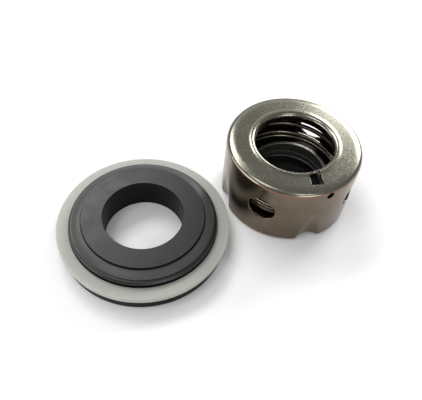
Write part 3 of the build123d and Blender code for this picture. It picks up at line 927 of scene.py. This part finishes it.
def spring_surface(turn_steps=110, ring_steps=24):
    """Points, normals and quads of the wire: the helix plus the wire's radius times a circle."""
    turns = BOTTOM_TURNS + ACTIVE_TURNS + TOP_TURNS
    along = np.linspace(0, turns, int(turns * turn_steps))
    low, high = SPRING_BOTTOM + WIRE / 2, SPRING_TOP - WIRE / 2
    open_rise = (high - low - CLOSED_RISE * (BOTTOM_TURNS + TOP_TURNS)) / ACTIVE_TURNS
    knots = [0, BOTTOM_TURNS, BOTTOM_TURNS + ACTIVE_TURNS, turns]
    heights = np.cumsum([
        low, CLOSED_RISE * BOTTOM_TURNS, open_rise * ACTIVE_TURNS, CLOSED_RISE * TOP_TURNS])
    height = np.interp(along, knots, heights)
    angle = SPRING_START + 2 * np.pi * along
    outward = np.stack([np.cos(angle), np.sin(angle), 0 * angle], axis=-1)
    line = outward * SPRING_R + height[:, None] * np.array([0, 0, 1.0])
    ahead = np.gradient(line, axis=0)
    ahead /= np.linalg.norm(ahead, axis=1, keepdims=True)
    upward = np.cross(outward, ahead)
    ring = np.linspace(0, 2 * np.pi, ring_steps, endpoint=False)
    inset = np.array([0.85, 0.96, 1.0])  # the cut ends are broken over a small radius
    size = np.concatenate([inset, np.ones(len(along) - 6), inset[::-1]])
    around = ring[None, :, None]
    away = outward[:, None] * np.cos(around) + upward[:, None] * np.sin(around)
    points = line[:, None] + away * (WIRE / 2 * size)[:, None, None]
    ids = np.arange(points.shape[0] * ring_steps).reshape(points.shape[:2])
    quads = [grid_quads(ids, close_columns=True)]
    points, normals = [points.reshape(-1, 3)], [away.reshape(-1, 3)]
    count = ids.size
    for row, sign in ((0, -1.0), (-1, 1.0)):
        points.append(line[row] + away[row] * WIRE / 2 * size[row])
        points.append(np.repeat(line[row][None], ring_steps, axis=0))
        normals.append(np.repeat(sign * ahead[row][None], 2 * ring_steps, axis=0))
        cap = np.arange(count, count + 2 * ring_steps).reshape(2, ring_steps)
        quads.append(grid_quads(cap, close_columns=True))
        count += cap.size
    return np.concatenate(points), np.concatenate(normals), np.concatenate(quads)


spring_piece = make_piece("coil_spring", *spring_surface(),
                          HEAD_AXIS, WIRE_STEEL, "housing", "spring", "spring_steel")
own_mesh(spring_piece)

# %% [markdown]
# ## What the spring presses
#
# The thrust ring spreads the spring's force over the carbon. The carbon ring has a narrow running
# nose on its face, a groove for the shaft's O-ring, and a notch for each crimp, which is how the
# can turns it. All three slide up together when the seal is pressed shut.

# %% Thrust ring, carbon and shaft O-ring
THRUST_FLANGE_TOP = THRUST_BOTTOM + 1.25
THRUST_ROUND, THRUST_FILLET = 0.25, 0.3
THRUST_CORNERS = [
    (THRUST_BORE_R, THRUST_BOTTOM, EDGE), (THRUST_BORE_R, THRUST_TOP, THRUST_ROUND),
    (THRUST_COLLAR_R, THRUST_TOP, THRUST_ROUND), (THRUST_COLLAR_R, THRUST_FLANGE_TOP, THRUST_FILLET),
    (THRUST_R, THRUST_FLANGE_TOP, EDGE), (THRUST_R, THRUST_BOTTOM, EDGE),
]
make_piece("thrust_washer", *turn_outline(rounded_outline(THRUST_CORNERS)),
           HEAD_AXIS, STEEL, "face_assembly", "thrust_ring", "turned_steel")

CARBON_BORE_R = 17.7
RUNNING_INNER_R, RUNNING_R, RUNNING_HEIGHT = 21.0, 25.8, 2.0
GROOVE_OUTER_R, GROOVE_LOW, GROOVE_HIGH = 19.95, 2.85, 5.95
FULL_CARBON_R, CARBON_ROUND = 28.6, 0.3
NOTCH_CLEARANCE = 0.35
CARBON_CORNERS = [
    (CARBON_BORE_R, RUNNING_HEIGHT, EDGE), (RUNNING_INNER_R, RUNNING_HEIGHT, EDGE),
    (RUNNING_INNER_R, CARBON_BOTTOM, EDGE), (RUNNING_R, CARBON_BOTTOM, EDGE),
    (RUNNING_R, RUNNING_HEIGHT, EDGE), (FULL_CARBON_R, RUNNING_HEIGHT, CARBON_ROUND),
    (FULL_CARBON_R, CARBON_TOP, CARBON_ROUND), (CARBON_BORE_R, CARBON_TOP, EDGE),
    (CARBON_BORE_R, GROOVE_HIGH, EDGE), (GROOVE_OUTER_R, GROOVE_HIGH, EDGE),
    (GROOVE_OUTER_R, GROOVE_LOW, EDGE), (CARBON_BORE_R, GROOVE_LOW, EDGE),
]


def notch_reach(angle):
    """How far out the carbon may stand: the circle of a drive notch cuts it back at each crimp."""
    off = from_crimp(angle)
    depth = CRIMP_DEPTH * (CRIMP_TOP - RUNNING_HEIGHT) / (CRIMP_TOP - SHELL_BOTTOM)
    middle = SHELL_R + CRIMP_PUNCH_R - depth
    notch = CRIMP_PUNCH_R + SHELL_WALL + NOTCH_CLEARANCE
    inside = notch**2 - (middle * np.sin(off)) ** 2
    cut = middle * np.cos(off) - np.sqrt(np.maximum(inside, 0))
    return np.where(inside > 0, cut, 2 * SHELL_R)


make_piece("carbon_ring", *turn_outline(rounded_outline(CARBON_CORNERS), notch_reach),
           HEAD_AXIS, CARBON, "face_assembly", "face_ring", "carbon")

SHAFT_CORD_R = ring_size("shaft_o_ring")[0] - SHAFT_CORD / 2
SHAFT_CORD_Z = ring_size("shaft_o_ring")[1] + SHAFT_CORD / 2
shaft_cord = circle_outline(SHAFT_CORD_R, SHAFT_CORD_Z, SHAFT_CORD / 2)
make_piece("shaft_cord", *turn_outline(shaft_cord),
           HEAD_AXIS, RUBBER, "face_assembly", "shaft_o_ring", "black_rubber")

# %% [markdown]
# ## Floor, light and camera
#
# The seal lies on plain white board under soft light. A metal shows what is around it, so the lamps
# are large panels: each is a bright field that the can mirrors, and the grey between them gives the
# can its dark bands.

# %% Floor
def white_board():
    """Matt white board under the seal, painted dark inside the head's bore: painted shade where the
    can keeps out the light.
    """
    material, shader, place = new_material("white_board")
    # The dark disc inside the head's bore is painted shade.
    painted_shade_in_bore = between_radii(material, place, HEAD_AXIS, -1.0, RUNNING_INNER_R + 0.5)
    colour = mix_colours(material, painted_shade_in_bore, linear("#f6f6f6"), linear("#2c2c2a"))
    connect(colour, shader, "Base Color")
    shader.inputs["Roughness"].default_value = 0.9
    shader.inputs["Specular IOR Level"].default_value = 0.1
    return material


def make_floor(half=3.0):
    """A flat square under the seal."""
    corners = [(-half, -half, 0), (half, -half, 0), (half, half, 0), (-half, half, 0)]
    mesh = bpy.data.meshes.new("floor")
    mesh.from_pydata(corners, [], [(0, 1, 2, 3)])
    mesh.materials.append(white_board())
    floor = bpy.data.objects.new("floor", mesh)
    bpy.context.scene.collection.objects.link(floor)
    return floor


make_floor()

# %% Light
def direction(azimuth, elevation):
    """Unit vector of a compass angle round +Z from +X, and a height angle."""
    a, e = np.radians(azimuth), np.radians(elevation)
    return np.array([np.cos(a) * np.cos(e), np.sin(a) * np.cos(e), np.sin(e)])


def softbox(name, azimuth, elevation, radiance, width, height, distance=1.2):
    """
    A lamp panel that faces the seal from a direction. A panel that shines evenly over a half sphere
    gives off the power P = radiance * pi * width * height.
    """
    data = bpy.data.lights.new(name, "AREA")
    data.shape, data.size, data.size_y = "RECTANGLE", width, height
    data.energy = radiance * np.pi * width * height
    lamp = bpy.data.objects.new(name, data)
    towards = direction(azimuth, elevation)
    turned = Matrix([list(v) for v in axes(-towards)]).transposed()
    lamp.matrix_world = Matrix.Translation(towards * distance) @ turned.to_4x4()
    bpy.context.scene.collection.objects.link(lamp)
    return lamp


def axes(forward):
    """Right, up and backward axes of something that looks along forward."""
    forward = forward / np.linalg.norm(forward)
    right = np.cross(forward, [0, 0, 1.0])
    right /= np.linalg.norm(right)
    return right, np.cross(right, forward), -forward


SOFTBOX_RINGS = [  # elevation, width and height in metres, then radiance by azimuth
    (10, 0.62, 0.34, {150: 2.9, 180: 5.5, 270: 4.5}),
    (28, 0.56, 0.38, {30: 13.1, 60: 0.6}),
    (47, 0.44, 0.38, {90: 8.2, 120: 5.9, 270: 2.7}),
    (68, 0.48, 0.40, {120: 0.4, 180: 4.2}),
]
for elevation, width, height, panels in SOFTBOX_RINGS:
    for azimuth, radiance in panels.items():
        softbox(f"panel_{azimuth}_{elevation}", azimuth, elevation, radiance, width, height)

WORLD_LIGHT = 0.35
world = bpy.data.worlds.new("studio")
bpy.context.scene.world = world
world.use_nodes = True
backdrop = world.node_tree.nodes["Background"]
backdrop.inputs["Color"].default_value = linear("#ffffff")
backdrop.inputs["Strength"].default_value = WORLD_LIGHT
print("softboxes", sum(len(panels) for *_, panels in SOFTBOX_RINGS))

# %% Camera
CAMERA_PLACE = np.array([-67.5, -126.6, 193.02])
CAMERA_HEADING, CAMERA_PITCH, CAMERA_ROLL = 61.9, -52.0, np.radians(-5.27)
CAMERA_LENS = 43.1


def make_camera():
    """Camera from its place, heading, pitch and roll. The roll turns right and up about the view."""
    right, up, back = axes(direction(CAMERA_HEADING, CAMERA_PITCH))
    turned_right = right * np.cos(CAMERA_ROLL) - up * np.sin(CAMERA_ROLL)
    turned_up = right * np.sin(CAMERA_ROLL) + up * np.cos(CAMERA_ROLL)
    data = bpy.data.cameras.new("camera")
    data.lens, data.sensor_width = CAMERA_LENS, 36.0
    data.clip_start, data.clip_end = 0.01, 20.0
    camera = bpy.data.objects.new("camera", data)
    turned = Matrix([list(turned_right), list(turned_up), list(back)]).transposed()
    camera.matrix_world = Matrix.Translation(CAMERA_PLACE * MM) @ turned.to_4x4()
    bpy.context.scene.collection.objects.link(camera)
    bpy.context.scene.camera = camera
    return camera


make_camera()
bpy.context.scene.view_settings.view_transform = "Standard"
